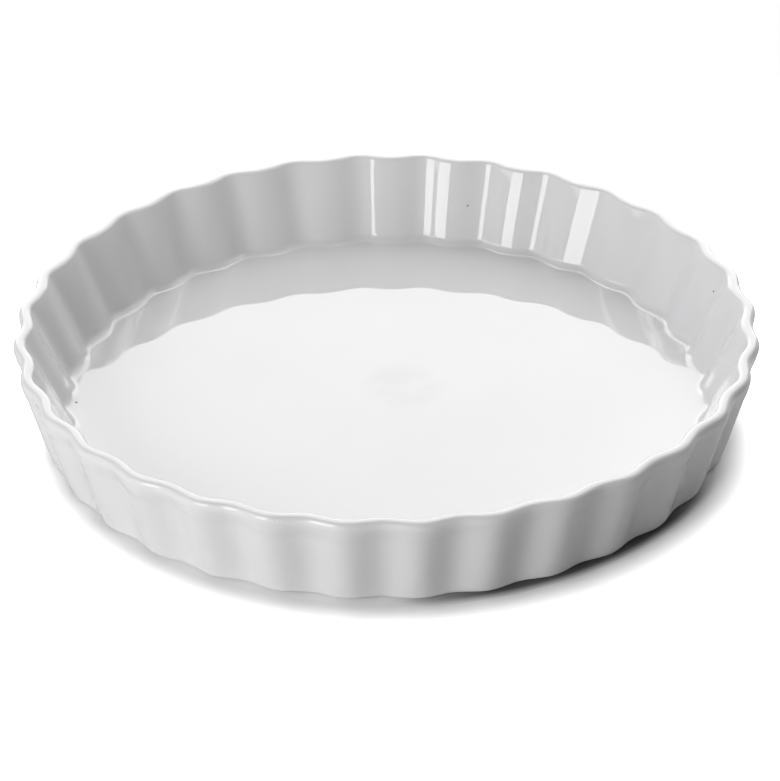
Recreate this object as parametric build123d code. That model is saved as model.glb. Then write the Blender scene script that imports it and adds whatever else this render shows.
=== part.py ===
from build123d import *
import os
from math import asin, atan2, cos, degrees, hypot, pi, radians, sin, sqrt, tan

# Fluted quiche dish in glazed porcelain: a shallow round dish, open at the top.
# Millimetres, +Z up, the table at z = 0, the dish's axis on Z and a flute crest on +X.

# Overall sizes, measured over the flute crests where they are diameters
RIM_DIAMETER = 300.0
FOOT_DIAMETER = 277.0
HEIGHT = 41.0

# Flutes: depth is from crest to valley
FLUTE_COUNT = 32
RIM_FLUTE_DEPTH = 2.4
FOOT_FLUTE_DEPTH = 2.1

# Wall, thicker at the floor than under the roll. The round roll along its top stands
# proud of the outside only.
WALL = 4.7
WALL_AT_FLOOR = 10.4
ROLL_PROUD = 0.7
LIP_FILLET_RADIUS = 2.5

# Floor and the fillet where the wall meets it inside
FLOOR = 5.0
INSIDE_FILLET_RADIUS = 3.0

# Foot ring: the only part of the dish that touches the table
FOOT_HEIGHT = 3.0
FOOT_WIDTH = 6.0
FOOT_SLOPE_RUN = 2.0
HEEL_RADIUS = 1.2

# Glaze: a thin coat on the body, wiped off the foot ring before firing
GLAZE = 0.35
BARE_BAND = 0.5
WIPED_MARGIN = 0.6

# How finely the arcs of the wall section are followed, in degrees
STEP_ANGLE = 18.0

# The wall section in a half plane: r from the axis, z up from the table.
# The roll is as thick as the wall and its proud part together.
roll_radius = (WALL + ROLL_PROUD) / 2
roll_centre = (RIM_DIAMETER / 2 - RIM_FLUTE_DEPTH / 2 - roll_radius, HEIGHT - roll_radius)
foot_radius = FOOT_DIAMETER / 2 - FOOT_FLUTE_DEPTH / 2
floor_height = FOOT_HEIGHT + FLOOR

# The outside of the wall is a straight line that starts at foot_radius on the table
# and passes the roll's centre at wall_offset. lean is its angle from the upright.
wall_offset = roll_radius - ROLL_PROUD
reach = (roll_centre[0] - foot_radius, roll_centre[1])
lean = atan2(*reach) + asin(wall_offset / hypot(*reach))
outward = (cos(lean), -sin(lean))
upward = (sin(lean), cos(lean))

# The concave fillet under the roll touches the wall and the roll
lip_drop = sqrt((roll_radius + LIP_FILLET_RADIUS) ** 2 - (wall_offset + LIP_FILLET_RADIUS) ** 2)
lip_centre = tuple(
    roll_centre[i] - lip_drop * upward[i] + (wall_offset + LIP_FILLET_RADIUS) * outward[i] for i in (0, 1)
)
lip_angle = degrees(atan2(lip_centre[1] - roll_centre[1], lip_centre[0] - roll_centre[0]))
wall_angle = -degrees(lean)

# The inside of the wall is a straight line too. It touches the roll, and at the floor it lies
# WALL_AT_FLOOR inside the outer line.
inside_reach = (
    roll_centre[0] - (foot_radius + tan(lean) * floor_height - WALL_AT_FLOOR),
    roll_centre[1] - floor_height,
)
inside_lean = atan2(*inside_reach) - asin(roll_radius / hypot(*inside_reach))
inside_angle = -degrees(inside_lean)

# The inside fillet touches the inside of the wall and the floor
fillet_height = floor_height + INSIDE_FILLET_RADIUS
fillet_back = roll_radius + INSIDE_FILLET_RADIUS + sin(inside_lean) * (roll_centre[1] - fillet_height)
fillet_centre = (roll_centre[0] - fillet_back / cos(inside_lean), fillet_height)

# The heel rounds the bare body from the wall to the table
body_foot_radius = foot_radius - GLAZE / cos(lean)
heel_centre = (body_foot_radius - HEEL_RADIUS * (1 - sin(lean)) / cos(lean), HEEL_RADIUS)
glaze_line = HEEL_RADIUS * (1 - sin(lean)) + BARE_BAND
foot_inner_radius = heel_centre[0] - FOOT_WIDTH
ceiling_radius = foot_inner_radius - FOOT_SLOPE_RUN


def arc(centre, radius, start, end):
    """Points (r, z) along an arc of the wall section, with its angles in degrees."""
    steps = max(2, round(abs(end - start) / STEP_ANGLE))
    angles = [radians(start + (end - start) * i / steps) for i in range(steps + 1)]
    return [(centre[0] + radius * cos(a), centre[1] + radius * sin(a)) for a in angles]


def fluted_ring(point):
    """The closed wavy line that a point (r, z) of the wall section follows round the dish.

    One edge per flute, from crest through valley to crest, square to the radius on every crest.
    """
    radius, height = point
    depth = FOOT_FLUTE_DEPTH + (RIM_FLUTE_DEPTH - FOOT_FLUTE_DEPTH) * height / HEIGHT
    edges = []
    for flute in range(FLUTE_COUNT):
        angles = [2 * pi * (flute + share) / FLUTE_COUNT for share in (0, 1 / 2, 1)]
        reaches = [radius + depth / 2 * cos(FLUTE_COUNT * angle) for angle in angles]
        points = [(r * cos(a), r * sin(a), height) for r, a in zip(reaches, angles)]
        ways = [(-sin(a), cos(a), 0) for a in (angles[0], angles[-1])]
        edges.append(Edge.make_spline(points, tangents=ways, parameters=[0, 1, 2]))
    return Wire(edges)


def band(points, ruled=False):
    """The fluted surface through a row of section points."""
    return Shell.make_loft([fluted_ring(point) for point in points], ruled=ruled).faces()


def wall_point(start_radius, height):
    """The point of the outside wall line that starts at start_radius on the table."""
    return (start_radius + tan(lean) * height, height)


def skin(depth):
    """The dish's surface from the glaze line outside, over the roll and down to the floor's middle.

    depth is how far it lies under the glazed surface: zero for that surface itself.
    """
    lip = arc(lip_centre, LIP_FILLET_RADIUS + depth, 180 + wall_angle, 180 + lip_angle)
    roll = arc(roll_centre, roll_radius - depth, lip_angle, 180 + inside_angle)
    corner = arc(fillet_centre, INSIDE_FILLET_RADIUS + depth, inside_angle, -90)
    outside_foot = wall_point(foot_radius - depth / cos(lean), glaze_line)
    faces = []
    faces += band([outside_foot, lip[0]], ruled=True)
    faces += band(lip)
    faces += band(roll)
    faces += band([roll[-1], corner[0]], ruled=True)
    faces += band(corner)
    faces.append(Face(fluted_ring(corner[-1])))
    return faces


def circle(radius, height):
    """A plain circle round the dish's axis."""
    return Wire([Edge.make_circle(radius, Plane.XY.offset(height))])


def solid_from(faces):
    """One closed solid from the faces that bound it."""
    made = Solid(Shell(faces))
    return made if made.volume > 0 else Solid(Shell([-face for face in faces]))


def glaze_coat():
    """The glaze on all that shows from above and from the side, as one continuous coat."""
    outer_edge = fluted_ring(wall_point(foot_radius, glaze_line))
    inner_edge = fluted_ring(wall_point(body_foot_radius, glaze_line))
    return solid_from(skin(0) + skin(GLAZE) + [Face(outer_edge, [inner_edge])])


def porcelain_body():
    """The fired body under the glaze, with its bare foot ring."""
    heel = arc(heel_centre, HEEL_RADIUS, -90, wall_angle)
    faces = skin(GLAZE)
    faces += band(heel)
    faces += band([heel[-1], wall_point(body_foot_radius, glaze_line)], ruled=True)
    faces.append(Face(fluted_ring(heel[0]), [circle(foot_inner_radius, 0)]))
    rise = [circle(foot_inner_radius, 0), circle(ceiling_radius, FOOT_HEIGHT)]
    faces += Shell.make_loft(rise, ruled=True).faces()
    faces.append(Face(circle(ceiling_radius, FOOT_HEIGHT)))
    return solid_from(faces)


def underside_glaze():
    """The glazed panel under the floor, inside the foot ring."""
    panel = Cylinder(ceiling_radius - WIPED_MARGIN, GLAZE, align=(Align.CENTER, Align.CENTER, Align.MAX))
    return Pos(0, 0, FOOT_HEIGHT) * panel


os.makedirs("parts", exist_ok=True)
for node in (porcelain_body, glaze_coat, underside_glaze):
    piece = node()
    piece.label = node.__name__
    export_step(piece, f"parts/{node.__name__}.step")
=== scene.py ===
import bpy
import numpy as np
from functools import cached_property
from math import asin, atan2, cos, hypot, pi, radians, sin, sqrt, tan
from mathutils import Matrix, Vector


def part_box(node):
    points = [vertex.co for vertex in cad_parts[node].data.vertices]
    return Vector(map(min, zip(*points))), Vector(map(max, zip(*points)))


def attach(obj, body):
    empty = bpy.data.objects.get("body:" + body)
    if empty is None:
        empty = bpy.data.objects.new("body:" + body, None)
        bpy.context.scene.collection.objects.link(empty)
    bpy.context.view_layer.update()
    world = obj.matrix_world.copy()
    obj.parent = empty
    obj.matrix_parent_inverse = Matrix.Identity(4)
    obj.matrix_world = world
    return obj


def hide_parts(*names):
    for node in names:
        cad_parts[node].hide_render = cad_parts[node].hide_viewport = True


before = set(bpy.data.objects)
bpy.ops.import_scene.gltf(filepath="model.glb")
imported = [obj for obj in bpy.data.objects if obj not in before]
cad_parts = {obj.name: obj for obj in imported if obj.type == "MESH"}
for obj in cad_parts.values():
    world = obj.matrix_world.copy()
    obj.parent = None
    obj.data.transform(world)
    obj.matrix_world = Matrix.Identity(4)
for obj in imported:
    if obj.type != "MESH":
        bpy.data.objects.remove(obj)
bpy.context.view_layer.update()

# Sizes in metres. The overall ones come from the frame, and the others are the solids' own.
MM = 0.001
glaze_low, glaze_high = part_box("glaze_coat")
body_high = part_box("porcelain_body")[1]
RIM_RADIUS = glaze_high.x
HEIGHT = glaze_high.z
GLAZE = glaze_high.z - body_high.z
GLAZE_LINE = glaze_low.z
FOOT_RADIUS = 138.5 * MM
FLUTE_COUNT = 32
RIM_FLUTE_DEPTH = 2.4 * MM
FOOT_FLUTE_DEPTH = 2.1 * MM
WALL = 4.7 * MM
WALL_AT_FLOOR = 10.4 * MM
ROLL_PROUD = 0.7 * MM
LIP_FILLET_RADIUS = 2.5 * MM
FLOOR_TOP = 8.0 * MM
INSIDE_FILLET_RADIUS = 3.0 * MM

# Inside, the flutes are a little deeper than the solid's, and sharper where they bulge outwards
INSIDE_DEPTH_SHARE = 1.14
INSIDE_SHARPNESS_SHARE = 0.10
INSIDE_BUILD_UP = 0.10 * MM

# Outside, they are deeper than the solid's on the wall, but not on the roll or at the glaze's edge
OUTSIDE_DEPTH_SHARE = 1.4
OUTSIDE_BUILD_UP = 0.16 * MM
OUTSIDE_FADE = 6.0 * MM

# Under the roll the glaze fills the fillet and runs into the wall in one soft curve. The curve leaves
# the roll at this angle, in degrees from level.
SOFT_LIP_HEIGHT = 8.0 * MM
SOFT_LIP_START = -16.0

# The glaze lies flatter on top of the roll than a circle does: it follows a superellipse of this power,
# where 2 is a circle. At the floor it fills the corner. The last share of the roll turns to the inside.
ROLL_FLATNESS = 2.6
ROLL_OUTSIDE_SHARE = 2 / 3
SOFT_FILLET_RADIUS = 5.0 * MM

# How uneven the hand-finished glaze is: always less than its own thickness
FLUTE_STRENGTH_SHARE = 0.07
FLUTE_WANDER = 0.0022
RIM_DIP = 0.12 * MM

# The slow waves round the dish that carry this, each as (how often it goes round, phase)
STRENGTH_WAVES = ((3, 0.8), (7, 2.6))
WANDER_WAVES = ((5, 1.1), (11, 4.0))
DIP_WAVES = ((2, 0.5), (9, 3.1))

# Long ripples on the floor. Each one is turned, shifted and a little shorter against the one before.
RIPPLE_COUNT = 5
RIPPLE_HEIGHT = 0.012 * MM
RIPPLE_LENGTH = 90.0 * MM
RIPPLE_SHORTER_SHARE = 0.13
RIPPLE_FIRST_TURN = 1.3
RIPPLE_TURN = 2.4
RIPPLE_SHIFT = 1.7

# A shallow hollow in the middle of the floor, longer one way than the other
HOLLOW_DEPTH = 0.06 * MM
HOLLOW_RADIUS = 22.0 * MM
HOLLOW_LENGTH_SHARE = 1.6
HOLLOW_SLANT_SHARE = 1 / 3

# How finely the surface is divided, with steps in degrees. Its side against the body is coarser.
COLUMNS_PER_FLUTE = 30
ARC_STEP = 7.0
WALL_ROWS = 10
FLOOR_ROWS = 16
HIDDEN_ROWS = 4
HIDDEN_ARC_STEP = 30.0

# Dark iron specks in the glaze, each as (degrees round the axis, radius, height, size)
SPECKS = (
    (177.2, 126.1 * MM, 8.0 * MM, 0.85 * MM),
    (12.0, 141.0 * MM, 31.3 * MM, 0.5 * MM),
    (70.1, 136.4 * MM, 23.4 * MM, 0.5 * MM),
    (-44.8, 141.8 * MM, 11.6 * MM, 0.6 * MM),
)

# Levels of a noise pattern between which one look gives way to another
WIDE_LEVELS = (0.35, 0.75)
EVEN_LEVELS = (0.3, 0.7)
PATCH_LEVELS = (0.35, 0.65)
SCUFF_LEVELS = (0.60, 0.72)

# The rays of light that show something directly, in the gloss or through glass
GLOSS_RAYS = ("Is Glossy Ray", "Is Transmission Ray")
SEEN_RAYS = ("Is Camera Ray", *GLOSS_RAYS)

# How far round the dish the camera stands from -Y, in radians, and its side as an angle from +X
CAMERA_TURN = -0.0823
camera_side = CAMERA_TURN - pi / 2

# The wall section, as in the solid: a straight wall that leans out, with a roll on top
roll_radius = (WALL + ROLL_PROUD) / 2
roll_centre = (RIM_RADIUS - RIM_FLUTE_DEPTH / 2 - roll_radius, HEIGHT - roll_radius)
foot_radius = FOOT_RADIUS - FOOT_FLUTE_DEPTH / 2
wall_offset = roll_radius - ROLL_PROUD
reach = (roll_centre[0] - foot_radius, roll_centre[1])
lean = atan2(*reach) + asin(wall_offset / hypot(*reach))
lip_drop = sqrt((roll_radius + LIP_FILLET_RADIUS) ** 2 - (wall_offset + LIP_FILLET_RADIUS) ** 2)
lip_centre = (
    roll_centre[0] - lip_drop * sin(lean) + (wall_offset + LIP_FILLET_RADIUS) * cos(lean),
    roll_centre[1] - lip_drop * cos(lean) - (wall_offset + LIP_FILLET_RADIUS) * sin(lean),
)
lip_angle = atan2(lip_centre[1] - roll_centre[1], lip_centre[0] - roll_centre[0])
inside_reach = (
    roll_centre[0] - (foot_radius + tan(lean) * FLOOR_TOP - WALL_AT_FLOOR),
    roll_centre[1] - FLOOR_TOP,
)
inside_lean = atan2(*inside_reach) - asin(roll_radius / hypot(*inside_reach))


def corner_centre(radius):
    """The centre of a fillet that touches the inside of the wall and the floor."""
    height = FLOOR_TOP + radius
    back = roll_radius + radius + sin(inside_lean) * (roll_centre[1] - height)
    return (roll_centre[0] - back / cos(inside_lean), height)


# The glossy floor is flat as far as this
floor_radius = corner_centre(SOFT_FILLET_RADIUS)[0]


def arc(centre, radius, start, end, step):
    """Points (r, z) along an arc of the wall section."""
    steps = max(2, round(abs(end - start) / radians(step)))
    angles = [start + (end - start) * i / steps for i in range(steps + 1)]
    return [(centre[0] + radius * cos(a), centre[1] + radius * sin(a)) for a in angles]


def line(start, end, rows):
    """Points (r, z) between two points of the wall section, without the two themselves."""
    return [
        (start[0] + (end[0] - start[0]) * i / rows, start[1] + (end[1] - start[1]) * i / rows)
        for i in range(1, rows)
    ]


def flat_topped_arc(centre, radius, end, step):
    """Points (r, z) over the roll from its outermost one to where it looks the way of the angle end."""
    power = ROLL_FLATNESS / (ROLL_FLATNESS - 1)
    points = []
    for way in np.linspace(0, end, round(end / radians(step)) + 1):
        across, up = abs(cos(way)), abs(sin(way))
        size = radius / (across ** power + up ** power) ** (1 / ROLL_FLATNESS)
        side = 1 if way < pi / 2 else -1
        outward = side * size * across ** (power - 1)
        points.append((centre[0] + outward, centre[1] + size * up ** (power - 1)))
    return points


def soft_curve(start, end, end_angle, rows):
    """Points (r, z) from the wall's line at start up to the roll at end, along both of them at its ends."""
    pull = (end[1] - start[1]) / 3
    first = (start[0] + pull * tan(lean), start[1] + pull)
    second = (end[0] + pull * tan(end_angle), end[1] - pull)
    points = []
    for share in np.linspace(0, 1, rows + 1):
        rest = 1 - share
        weights = (rest ** 3, 3 * rest ** 2 * share, 3 * rest * share ** 2, share ** 3)
        points.append(tuple(
            sum(w * point[i] for w, point in zip(weights, (start, first, second, end))) for i in (0, 1)
        ))
    return points


def glossy_curves():
    """The glossy surface under the roll, over it and in the corner at the floor, as rows of (r, z)."""
    start = radians(SOFT_LIP_START)
    end = (roll_centre[0] + roll_radius * cos(start), roll_centre[1] + roll_radius * sin(start))
    low = end[1] - SOFT_LIP_HEIGHT
    lip = soft_curve((foot_radius + tan(lean) * low, low), end, start, WALL_ROWS)
    roll = arc(roll_centre, roll_radius, start, 0, ARC_STEP)[:-1]
    roll += flat_topped_arc(roll_centre, roll_radius, pi - inside_lean, ARC_STEP)
    corner = arc(corner_centre(SOFT_FILLET_RADIUS), SOFT_FILLET_RADIUS, -inside_lean, -pi / 2, ARC_STEP)
    return lip, roll, corner


def hidden_curves():
    """The same three on the coat's side against the body, as in the solid."""
    lip = arc(lip_centre, LIP_FILLET_RADIUS + GLAZE, pi - lean, pi + lip_angle, HIDDEN_ARC_STEP)
    roll = arc(roll_centre, roll_radius - GLAZE, lip_angle, pi - inside_lean, HIDDEN_ARC_STEP)
    radius = INSIDE_FILLET_RADIUS
    corner = arc(corner_centre(radius), radius + GLAZE, -inside_lean, -pi / 2, HIDDEN_ARC_STEP)
    return lip, roll, corner


def section(depth, curves, wall_rows, floor_rows):
    """Rows (r, z, inside share) from the coat's edge up the outside, over the roll and in to the middle.

    depth is how far the row lies under the glossy surface. The inside share is 0 outside and 1 inside.
    The straight inside of the wall takes half as many rows as the outside.
    """
    lip, roll, corner = curves
    edge_height = GLAZE_LINE + GLAZE / 2
    foot = (foot_radius - depth / cos(lean) + tan(lean) * edge_height, edge_height)
    outside = [foot] + line(foot, lip[0], wall_rows) + lip
    inside = line(roll[-1], corner[0], wall_rows // 2) + corner
    inside += line(corner[-1], (0, corner[-1][1]), floor_rows)
    turned = [(i / len(roll) - ROLL_OUTSIDE_SHARE) / (1 - ROLL_OUTSIDE_SHARE) for i in range(len(roll))]
    over = [(r, z, max(0, share)) for (r, z), share in zip(roll, turned)][1:]
    return [(r, z, 0) for r, z in outside] + over + [(r, z, 1) for r, z in inside]


def coat_rows():
    """The coat's whole outline as rows (r, z, inside share, glossy share), round its beaded edge."""
    top = section(0, glossy_curves(), WALL_ROWS, FLOOR_ROWS)
    under = section(GLAZE, hidden_curves(), HIDDEN_ROWS, HIDDEN_ROWS)
    half = (top[0][0] - under[0][0]) / 2
    bead = arc((top[0][0] - half, top[0][1]), half, pi, 2 * pi, HIDDEN_ARC_STEP)[1:-1]
    rows = [(r, z, share, 0) for r, z, share in reversed(under)]
    rows += [(r, z, 0, i / len(bead)) for i, (r, z) in enumerate(bead)]
    return np.array(rows + [(r, z, share, 1) for r, z, share in top])


def soft_step(share):
    """0 below 0, 1 above 1, and a smooth rise between."""
    share = np.clip(share, 0, 1)
    return share * share * (3 - 2 * share)


def slow_wave(angle, waves):
    """A slow wave round the dish between -1 and 1, made of the given ones."""
    return sum(np.sin(times * angle + phase) for times, phase in waves) / len(waves)


def fluted_points(rows, angle):
    """Every row carried round the dish, with the flutes and the glaze's own unevenness."""
    r, z, inside, glossy = (column[:, None] for column in rows.T)
    depth = FOOT_FLUTE_DEPTH + (RIM_FLUTE_DEPTH - FOOT_FLUTE_DEPTH) * z / HEIGHT
    outside = (1 - inside) * soft_step((z - GLAZE_LINE) / OUTSIDE_FADE)
    outside = outside * soft_step((HEIGHT - roll_radius - z) / OUTSIDE_FADE)
    share = inside * (INSIDE_DEPTH_SHARE - 1) + outside * (OUTSIDE_DEPTH_SHARE - 1)
    depth = depth * (1 + glossy * share)
    weaker = (1 + slow_wave(angle, STRENGTH_WAVES)) / 2
    depth = depth * (1 - glossy * FLUTE_STRENGTH_SHARE * weaker)
    phase = FLUTE_COUNT * (angle + glossy * FLUTE_WANDER * slow_wave(angle, WANDER_WAVES))
    wave = np.cos(phase) + glossy * inside * INSIDE_SHARPNESS_SHARE * np.cos(2 * phase)
    fade = np.clip(r / floor_radius, 0, 1)
    radius = r + fade * depth / 2 * wave
    radius = radius + glossy * (outside * OUTSIDE_BUILD_UP - fade * inside * INSIDE_BUILD_UP)
    dip = RIM_DIP * (1 + slow_wave(angle, DIP_WAVES)) / 2
    height = z - glossy * dip * np.clip((z - FLOOR_TOP) / (HEIGHT - FLOOR_TOP), 0, 1)
    x, y = radius * np.cos(angle), radius * np.sin(angle)
    return np.stack([x, y, height + glossy * inside * floor_relief(x, y, radius)], -1)


def floor_relief(x, y, radius):
    """How far the floor's glossy surface lies off its plane: long ripples and a shallow hollow."""
    flat = soft_step((floor_radius - radius) / HOLLOW_RADIUS)
    ripple = 0
    for i in range(RIPPLE_COUNT):
        turn = RIPPLE_FIRST_TURN + RIPPLE_TURN * i
        length = RIPPLE_LENGTH * (1 - RIPPLE_SHORTER_SHARE * i)
        ripple = ripple + np.sin(2 * pi / length * (x * cos(turn) + y * sin(turn)) + RIPPLE_SHIFT * i)
    along = x / (HOLLOW_LENGTH_SHARE * HOLLOW_RADIUS)
    across = (y - HOLLOW_SLANT_SHARE * x) / HOLLOW_RADIUS
    return flat * (RIPPLE_HEIGHT * ripple - HOLLOW_DEPTH * np.exp(-(along ** 2 + across ** 2)))


def glaze_mesh():
    """The glaze coat as one closed thin shell."""
    rows = coat_rows()
    angle = np.linspace(0, 2 * pi, FLUTE_COUNT * COLUMNS_PER_FLUTE, endpoint=False)
    points = fluted_points(rows, angle)
    count, columns = points.shape[:2]
    middles = [[0, 0, points[0, :, 2].mean()], [0, 0, points[-1, :, 2].mean()]]
    index = np.arange(count * columns).reshape(count, columns)
    beside = np.roll(index, -1, 1)
    quads = np.stack([index[:-1], beside[:-1], beside[1:], index[1:]], -1).reshape(-1, 4)
    first, last = count * columns, count * columns + 1
    caps = [(beside[0, i], index[0, i], first) for i in range(columns)]
    caps += [(index[-1, i], beside[-1, i], last) for i in range(columns)]
    mesh = bpy.data.meshes.new("glaze_coat_surface")
    mesh.from_pydata(points.reshape(-1, 3).tolist() + middles, [], quads.tolist() + caps)
    mesh.update()
    mesh.shade_smooth()
    return mesh


class Nodes:
    """A small helper that adds and links nodes in the tree of a material or of the world."""

    def __init__(self, owner):
        owner.use_nodes = True
        self.tree = owner.node_tree

    @cached_property
    def place(self):
        """Where on the object the shaded point lies."""
        return self.add("TexCoord").outputs["Object"]

    def add(self, kind, inputs=(), **settings):
        """A new node with the given inputs and settings."""
        node = self.tree.nodes.new("ShaderNode" + kind)
        for name, value in settings.items():
            setattr(node, name, value)
        for name, value in dict(inputs).items():
            self.put(node.inputs[name], value)
        return node

    def put(self, socket, value):
        """Link an output to the socket, or set the socket's own value."""
        if isinstance(value, bpy.types.NodeSocket):
            self.tree.links.new(value, socket)
        else:
            socket.default_value = value

    def noise(self, size, detail=2.0, stretch=(1, 1, 1)):
        """Noise whose features are about size metres across, stretched along the axes."""
        scaled = self.vector("DIVIDE", self.place, stretch)
        return self.add("TexNoise", {"Vector": scaled, "Scale": 1 / size, "Detail": detail}).outputs[0]

    def span(self, value, low, high, start=0.0, end=1.0):
        """The value between low and high carried to between start and end."""
        inputs = {"Value": value, "From Min": low, "From Max": high, "To Min": start, "To Max": end}
        return self.add("MapRange", inputs, interpolation_type="SMOOTHSTEP").outputs["Result"]

    def math(self, operation, a, b, **settings):
        """One step of arithmetic with two numbers."""
        return self.add("Math", {0: a, 1: b}, operation=operation, **settings).outputs[0]

    def vector(self, operation, a, b=(0, 0, 0)):
        """One step of arithmetic with vectors, which gives a vector or a number."""
        node = self.add("VectorMath", {0: a, 1: b}, operation=operation)
        return next(socket for socket in node.outputs if socket.enabled)

    def mix(self, share, first, second, kind="RGBA"):
        """A colour, or a number where kind is FLOAT, that goes from first to second with the share."""
        node = self.add("Mix", data_type=kind)
        sockets = [socket for socket in node.inputs if socket.enabled]
        for socket, value in zip(sockets, (share, first, second)):
            self.put(socket, value)
        return next(socket for socket in node.outputs if socket.enabled)

    def rays(self, *kinds):
        """1 for the rays of the named kinds and 0 for the others."""
        path = self.add("LightPath")
        total = path.outputs[kinds[0]]
        for kind in kinds[1:]:
            total = self.math("ADD", total, path.outputs[kind], use_clamp=True)
        return total


def new_material(name):
    """A new material, the helper for its nodes, and its shader."""
    material = bpy.data.materials.new(name)
    nodes = Nodes(material)
    return material, nodes, nodes.tree.nodes["Principled BSDF"]


def scattered_specks(nodes, cell, size, rarity):
    """Share of a speck: one small dark spot in a few of the cells."""
    cells = nodes.add("TexVoronoi", {"Vector": nodes.place, "Scale": 1 / cell})
    chosen = nodes.add("SeparateColor", {"Color": cells.outputs["Color"]}).outputs[0]
    spot = nodes.span(cells.outputs["Distance"], size / cell / 2, size / cell, 1.0, 0.0)
    return nodes.math("MULTIPLY", spot, nodes.math("LESS_THAN", chosen, rarity))


def round_spot(nodes, angle, radius, height, size):
    """Share of one soft round spot at a place on the dish, with its angle in degrees round the axis."""
    place = (radius * cos(radians(angle)), radius * sin(radians(angle)), height)
    return nodes.span(nodes.vector("DISTANCE", nodes.place, place), size / 2, size, 1.0, 0.0)


def grey_patch_colour(nodes, colour, strength):
    """The colour with a faint grey patch in the middle of the floor."""
    GREY_PATCH = (0.70, 0.70, 0.72, 1)
    PLACE = (40.0, 9 * MM, FLOOR_TOP, 21 * MM)
    PATCH_SIZE = 16 * MM
    WEAKEST_SHARE = 0.3
    patches = nodes.noise(PATCH_SIZE, detail=3.0)
    patchy = nodes.span(patches, *PATCH_LEVELS, WEAKEST_SHARE * strength, strength)
    return nodes.mix(nodes.math("MULTIPLY", round_spot(nodes, *PLACE), patchy), colour, GREY_PATCH)


def glaze_material(name, speck_rarity, placed, grey_patch=0.0):
    """White gloss glaze: a faint drift of colour, gentle runs, orange peel and a few dark iron specks.

    The last argument sets how strong the faint grey patch in the middle of the dish's floor is.
    """
    WHITE = (0.862, 0.862, 0.872, 1)
    CREAM = (0.847, 0.846, 0.852, 1)
    SPECK = (0.10, 0.085, 0.07, 1)
    DRIFT_SIZE = 60 * MM
    SPECK_SPACING, SPECK_SIZE = 9 * MM, 0.16 * MM
    GLOSS_SIZE, GLOSSIEST, DULLEST = 25 * MM, 0.012, 0.03
    RUN_SIZE, RUN_STRETCH, RUN_HEIGHT = 9 * MM, (1, 1, 5), 0.012 * MM
    PEEL_SIZE, PEEL_HEIGHT = 1.6 * MM, 0.0006 * MM
    material, nodes, shader = new_material(name)
    colour = nodes.mix(nodes.span(nodes.noise(DRIFT_SIZE), *WIDE_LEVELS), WHITE, CREAM)
    if grey_patch:
        colour = grey_patch_colour(nodes, colour, grey_patch)
    specks = scattered_specks(nodes, SPECK_SPACING, SPECK_SIZE, speck_rarity)
    for speck in placed:
        specks = nodes.math("MAXIMUM", specks, round_spot(nodes, *speck))
    nodes.put(shader.inputs["Base Color"], nodes.mix(specks, colour, SPECK))
    gloss = nodes.span(nodes.noise(GLOSS_SIZE), *EVEN_LEVELS, GLOSSIEST, DULLEST)
    nodes.put(shader.inputs["Roughness"], gloss)
    shader.inputs["IOR"].default_value = 1.5
    runs = nodes.add("Bump", {
        "Height": nodes.noise(RUN_SIZE, detail=1.0, stretch=RUN_STRETCH), "Distance": RUN_HEIGHT,
    })
    peel = nodes.add("Bump", {
        "Height": nodes.noise(PEEL_SIZE, detail=0.0), "Distance": PEEL_HEIGHT, "Normal": runs.outputs[0],
    })
    nodes.put(shader.inputs["Normal"], peel.outputs[0])
    return material


def biscuit_material():
    """Bare fired porcelain on the foot ring: matt, warm white, fine grained and scuffed by shelves."""
    PALE = (0.86, 0.85, 0.83, 1)
    WARM = (0.80, 0.782, 0.75, 1)
    SCUFF = (0.50, 0.485, 0.465, 1)
    DRIFT_SIZE = 14 * MM
    SCUFF_SIZE, SCUFF_STRETCH, SCUFF_STRENGTH = 2.2 * MM, (1, 6, 1), 0.55
    SCUFF_LOW, SCUFF_HIGH = 0.1 * MM, 0.6 * MM
    MATT_SIZE, SMOOTHEST, ROUGHEST = 3 * MM, 0.62, 0.8
    GRAIN_SIZE, GRAIN_HEIGHT = 0.35 * MM, 0.03 * MM
    material, nodes, shader = new_material("bare_biscuit")
    colour = nodes.mix(nodes.span(nodes.noise(DRIFT_SIZE), *WIDE_LEVELS), PALE, WARM)
    marks = nodes.span(nodes.noise(SCUFF_SIZE, detail=4.0, stretch=SCUFF_STRETCH), *SCUFF_LEVELS)
    height = nodes.add("SeparateXYZ", {0: nodes.place}).outputs["Z"]
    near_table = nodes.span(height, SCUFF_LOW, SCUFF_HIGH, SCUFF_STRENGTH, 0.0)
    scuffed = nodes.mix(nodes.math("MULTIPLY", marks, near_table), colour, SCUFF)
    nodes.put(shader.inputs["Base Color"], scuffed)
    matt = nodes.span(nodes.noise(MATT_SIZE), *EVEN_LEVELS, SMOOTHEST, ROUGHEST)
    nodes.put(shader.inputs["Roughness"], matt)
    shader.inputs["IOR"].default_value = 1.45
    grain = nodes.add("Bump", {"Height": nodes.noise(GRAIN_SIZE, detail=3.0), "Distance": GRAIN_HEIGHT})
    nodes.put(shader.inputs["Normal"], grain.outputs[0])
    return material


def add_dish():
    """The glaze coat's detailed surface, and the finish of the two pieces that stay as solids."""
    SPECK_RARITY, HIDDEN_SPECK_RARITY = 0.02, 0.10
    GREY_PATCH = 0.3
    glaze = bpy.data.objects.new("glaze_coat_surface", glaze_mesh())
    bpy.context.scene.collection.objects.link(glaze)
    glaze.data.materials.append(glaze_material("white_gloss_glaze", SPECK_RARITY, SPECKS, grey_patch=GREY_PATCH))
    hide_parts("glaze_coat")
    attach(glaze, "root")
    finishes = {
        "porcelain_body": biscuit_material(),
        "underside_glaze": glaze_material("underside_gloss_glaze", HIDDEN_SPECK_RARITY, ()),
    }
    for node, material in finishes.items():
        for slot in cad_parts[node].material_slots:
            slot.material = material


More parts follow.
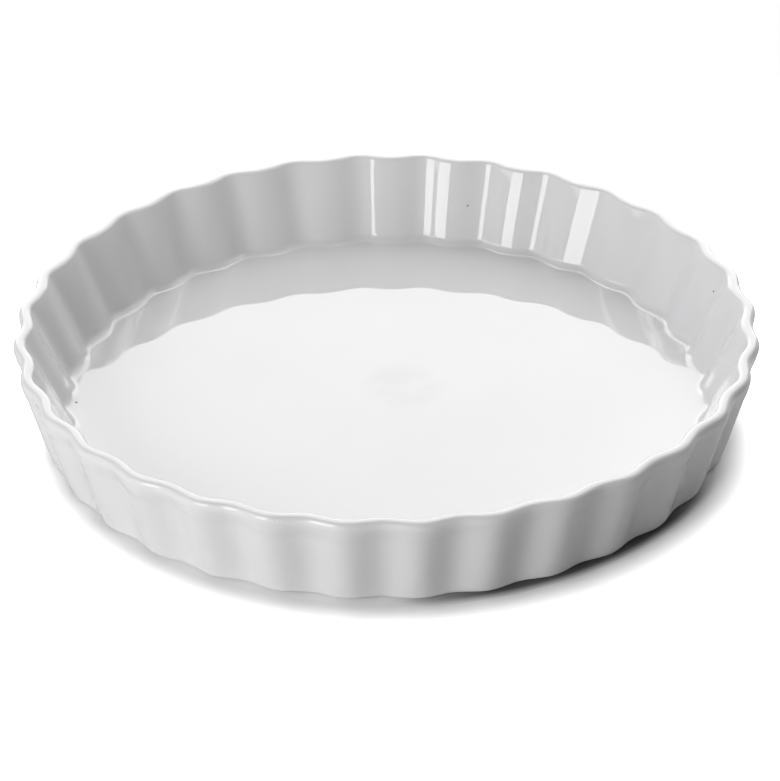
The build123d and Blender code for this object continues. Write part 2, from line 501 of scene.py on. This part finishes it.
def add_camera():
    """The camera at the photograph's viewing angle, worked out for a picture of 780 by 781 pixels."""
    PICTURE_WIDTH = 780
    SENSOR = 36.0
    FOCAL_PIXELS = 4104.6
    DISTANCE_SHARE = 11.453
    ELEVATION = radians(31.261)
    YAW, PITCH, ROLL = 0.00075, 0.00494, radians(-0.554)
    data = bpy.data.cameras.new("camera")
    data.sensor_fit = "HORIZONTAL"
    data.sensor_width = SENSOR
    data.lens = FOCAL_PIXELS * SENSOR / PICTURE_WIDTH
    distance = DISTANCE_SHARE * roll_centre[0]
    place = Vector((0, -distance * cos(ELEVATION), distance * sin(ELEVATION)))
    forward = -place.normalized()
    side = Vector((1, 0, 0))
    forward = (forward + side * YAW + side.cross(forward) * PITCH).normalized()
    side = forward.cross(Vector((0, 0, 1))).normalized()
    up = side.cross(forward)
    axes = Matrix((
        side * cos(ROLL) + up * sin(ROLL),
        up * cos(ROLL) - side * sin(ROLL),
        -forward,
    )).transposed()
    camera = bpy.data.objects.new("camera", data)
    camera.matrix_world = Matrix.Rotation(CAMERA_TURN, 4, "Z") @ Matrix.Translation(place) @ axes.to_4x4()
    bpy.context.scene.collection.objects.link(camera)
    bpy.context.scene.camera = camera


def table_as_seen(nodes, radius):
    """The table's level as the camera sees it: white a little way off the dish, and dull close to the foot
    in a painted shadow.

    A painted contact shadow makes it dullest close to the foot at the front right.
    """
    # Painted shadow: the seen colour is low close to the dish and rises far above 1 away from it
    AT_FOOT, CLEAR_OF_DISH = 0.93, 3.0
    SHADOW_CENTRE = (-0.5 * MM, -8.5 * MM, 0)
    SHADOW_START, SHADOW_END = FOOT_RADIUS - 6 * MM, FOOT_RADIUS + 14 * MM
    # Painted contact shadow: a darker band along the foot, darkest towards the front right
    PAINTED_SHADE_SIDE, PAINTED_SHADE_WIDTH, PAINTED_SHADE_DARKNESS = radians(-60), 6.0 * MM, 0.87
    PAINTED_SHADE_EDGE, PAINTED_SHADE_MIDDLE = cos(radians(38)), cos(radians(16))
    away = nodes.vector("DISTANCE", nodes.place, SHADOW_CENTRE)
    shaded = nodes.span(away, SHADOW_START, SHADOW_END, AT_FOOT, CLEAR_OF_DISH)
    close = nodes.span(radius, FOOT_RADIUS, FOOT_RADIUS + PAINTED_SHADE_WIDTH, 1.0, 0.0)
    outward = nodes.vector("NORMALIZE", nodes.place)
    towards = nodes.vector("DOT_PRODUCT", outward, (cos(PAINTED_SHADE_SIDE), sin(PAINTED_SHADE_SIDE), 0))
    painted_contact_shade = nodes.math("MULTIPLY", nodes.span(towards, PAINTED_SHADE_EDGE, PAINTED_SHADE_MIDDLE, 0.0, PAINTED_SHADE_DARKNESS), close)
    return nodes.math("MULTIPLY", shaded, nodes.math("SUBTRACT", 1.0, painted_contact_shade))


def table_material():
    """Plain white, and white in the dish's gloss too. To the camera it carries a painted shadow close to
    the dish's foot.

    Well away from the dish, where the lamps don't reach, it is plain white by itself, and lights nothing.
    """
    LIT, IN_GLOSS = 0.75, 1.0
    OPEN_START, OPEN_END = 240 * MM, 360 * MM
    material, nodes, shader = new_material("table_white")
    nodes.tree.nodes.remove(shader)
    radius = nodes.vector("LENGTH", nodes.place)
    plain = nodes.mix(nodes.rays(*GLOSS_RAYS), LIT, IN_GLOSS, kind="FLOAT")
    # The camera sees the table with the painted shadow near the foot
    level = nodes.mix(nodes.rays("Is Camera Ray"), plain, table_as_seen(nodes, radius), kind="FLOAT")
    lit = nodes.add("BsdfDiffuse", {"Color": level})
    white = nodes.add("Emission")
    open_share = nodes.math("MULTIPLY", nodes.span(radius, OPEN_START, OPEN_END), nodes.rays(*SEEN_RAYS))
    surface = nodes.add("MixShader", {0: open_share, 1: lit.outputs[0], 2: white.outputs[0]})
    nodes.put(nodes.tree.nodes["Material Output"].inputs["Surface"], surface.outputs[0])
    material.cycles.emission_sampling = "NONE"
    return material


def add_floor():
    """The plain table top that the dish stands on."""
    HALF_SIDE = 3.0
    mesh = bpy.data.meshes.new("table_top")
    corners = [(x * HALF_SIDE, y * HALF_SIDE, 0) for x, y in ((-1, -1), (1, -1), (1, 1), (-1, 1))]
    mesh.from_pydata(corners, [], [(0, 1, 2, 3)])
    floor = bpy.data.objects.new("table_top", mesh)
    bpy.context.scene.collection.objects.link(floor)
    floor.data.materials.append(table_material())


def add_world():
    """White where it is seen directly or in the gloss. It lights nothing else."""
    world = bpy.data.worlds.new("studio")
    bpy.context.scene.world = world
    nodes = Nodes(world)
    background = nodes.tree.nodes["Background"]
    background.inputs["Color"].default_value = (1, 1, 1, 1)
    nodes.put(background.inputs["Strength"], nodes.rays(*SEEN_RAYS))


def add_softbox(name, at, tilt, size, level):
    """A rectangular softbox turned to the dish.

    at is its direction in degrees from the camera's side, its distance along the table and the height of
    its centre. tilt is how far it looks down, in degrees. size is its width and height, and level is its
    brightness.
    """
    direction, distance, lift = at
    width, height = size
    turn, tilt = camera_side + radians(direction), radians(tilt)
    data = bpy.data.lights.new(name, "AREA")
    data.shape = "RECTANGLE"
    data.size, data.size_y = width, height
    data.energy = level * pi * width * height
    lamp = bpy.data.objects.new(name, data)
    outward = Vector((cos(turn) * cos(tilt), sin(turn) * cos(tilt), sin(tilt)))
    side = Vector((-sin(turn), cos(turn), 0))
    axes = Matrix((side, outward.cross(side), outward)).transposed()
    centre = Vector((distance * cos(turn), distance * sin(turn), lift))
    lamp.matrix_world = Matrix.Translation(centre) @ axes.to_4x4()
    lamp.visible_camera = False
    bpy.context.scene.collection.objects.link(lamp)


def add_lamps():
    """A tall key softbox front left with a small one on each side, three panels behind, one back right."""
    add_softbox("key", at=(-42, 1.3, 0.545), tilt=0, size=(0.505, 1.09), level=6.3)
    add_softbox("key_low", at=(-20.5, 1.3, 0.14), tilt=0, size=(0.48, 0.27), level=2.4)
    add_softbox("key_side", at=(-66.5, 1.3, 0.81), tilt=0, size=(0.62, 0.57), level=2.3)
    add_softbox("back_low", at=(180, 1.5, 0.505), tilt=0, size=(1.73, 0.59), level=2.9)
    add_softbox("back_middle", at=(180, 1.2, 0.9), tilt=37, size=(1.38, 0.475), level=2.7)
    add_softbox("back_high", at=(180, 0.86, 1.23), tilt=55, size=(0.99, 0.475), level=3.45)
    add_softbox("right", at=(120, 1.06, 1.06), tilt=45, size=(1.22, 0.8), level=1.7)


add_dish()
add_camera()
add_floor()
add_world()
add_lamps()

bpy.context.scene.view_settings.view_transform = "Standard"
